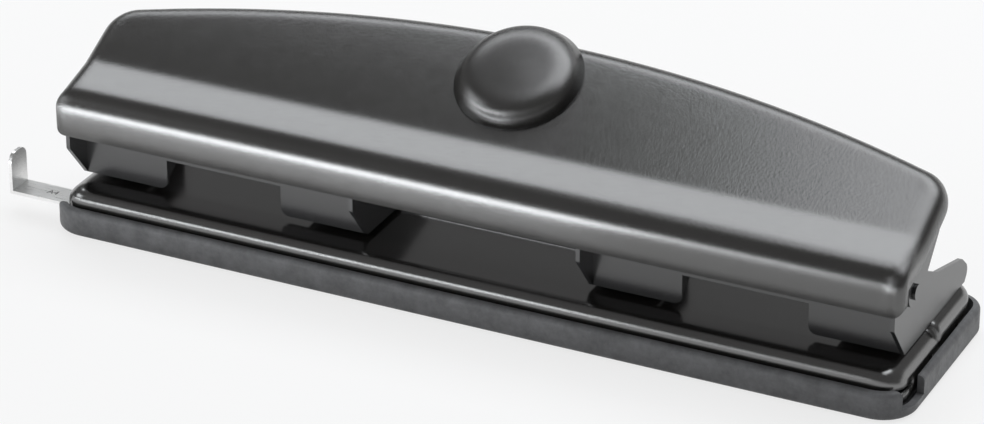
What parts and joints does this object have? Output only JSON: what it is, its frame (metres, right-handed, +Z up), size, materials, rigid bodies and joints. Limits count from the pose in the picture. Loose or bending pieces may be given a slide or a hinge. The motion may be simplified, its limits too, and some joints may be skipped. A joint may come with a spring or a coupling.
{
  "type": "desktop paper punch",
  "caption": "Long lever-handle paper punch for ring binders, with a palm button, paper guide and chip tray.",
  "frame": {"origin": "middle of the chip tray's flat underside, on the surface the punch stands on", "axes": "+X along the punch to the right, +Y to the back, +Z up"},
  "size_m": [0.278, 0.065, 0.0687],
  "materials": {
    "tray_plastic": "black moulded plastic, fine spark-eroded grain",
    "base_paint": "black stove enamel, semi-gloss",
    "frame_paint": "black stove enamel, semi-gloss",
    "handle_paint": "black fine-textured paint, semi-gloss",
    "button_plastic": "black moulded plastic, satin",
    "lever_paint": "black enamel",
    "pin_steel": "ground and hardened",
    "zinc_steel": "zinc plated",
    "spring_steel": "oiled spring steel",
    "rivet_steel": "zinc plated",
    "guide_nickel": "bright nickel plated"
  },
  "bodies": {
    "tray": {"chip_tray": "tray_plastic"},
    "punch": {"base_plate": "base_paint", "punch_frame_left": "frame_paint", "punch_frame_right": "frame_paint", "frame_rivets": "rivet_steel", "pivot_rivets": "rivet_steel", "guide_clip_outer": "zinc_steel", "guide_clip_inner": "zinc_steel", "guide_leaf": "spring_steel", "pin_spring_1": "spring_steel", "pin_spring_2": "spring_steel", "pin_spring_3": "spring_steel", "pin_spring_4": "spring_steel"},
    "handle": {"handle_shell": "handle_paint", "palm_button": "button_plastic", "button_nut": "spring_steel", "lever_left": "lever_paint", "lever_right": "lever_paint", "press_rail_left": "lever_paint", "press_rail_right": "lever_paint"},
    "guide": {"paper_guide": "guide_nickel"},
    "pin_1": {"punch_pin_1": "pin_steel", "spring_washer_1": "zinc_steel"},
    "pin_2": {"punch_pin_2": "pin_steel", "spring_washer_2": "zinc_steel"},
    "pin_3": {"punch_pin_3": "pin_steel", "spring_washer_3": "zinc_steel"},
    "pin_4": {"punch_pin_4": "pin_steel", "spring_washer_4": "zinc_steel"}
  },
  "joints": [
    {"name": "tray_hinge", "type": "hinge", "parent": "tray", "child": "punch", "pos_m": [0.1301, 0, 0.0065], "axis": [0, 1, 0], "range_deg": [0, 30]},
    {"name": "handle_press", "type": "hinge", "parent": "punch", "child": "handle", "pos_m": [0, -0.01862, 0.03343], "axis": [-1, 0, 0], "range_deg": [0, 40], "stiffness_Nm_per_rad": 0.6, "springref_deg": -20.05},
    {"name": "pin_1_slide", "type": "slide", "parent": "punch", "child": "pin_1", "axis": [0, 0, -1], "range_m": [0, 0.00541], "deforming": ["pin_spring_1"]},
    {"name": "pin_2_slide", "type": "slide", "parent": "punch", "child": "pin_2", "axis": [0, 0, -1], "range_m": [0, 0.00541], "deforming": ["pin_spring_2"]},
    {"name": "pin_3_slide", "type": "slide", "parent": "punch", "child": "pin_3", "axis": [0, 0, -1], "range_m": [0, 0.00541], "deforming": ["pin_spring_3"]},
    {"name": "pin_4_slide", "type": "slide", "parent": "punch", "child": "pin_4", "axis": [0, 0, -1], "range_m": [0, 0.00541], "deforming": ["pin_spring_4"]},
    {"name": "guide_slide", "type": "slide", "parent": "punch", "child": "guide", "axis": [1, 0, 0], "range_m": [-0.025, 0.0135]}
  ],
  "couplings": [
    {"joint": "pin_1_slide", "follows": "handle_press", "m_per_rad": 0.0077407},
    {"joint": "pin_2_slide", "follows": "handle_press", "m_per_rad": 0.0077407},
    {"joint": "pin_3_slide", "follows": "handle_press", "m_per_rad": 0.0077407},
    {"joint": "pin_4_slide", "follows": "handle_press", "m_per_rad": 0.0077407}
  ]
}
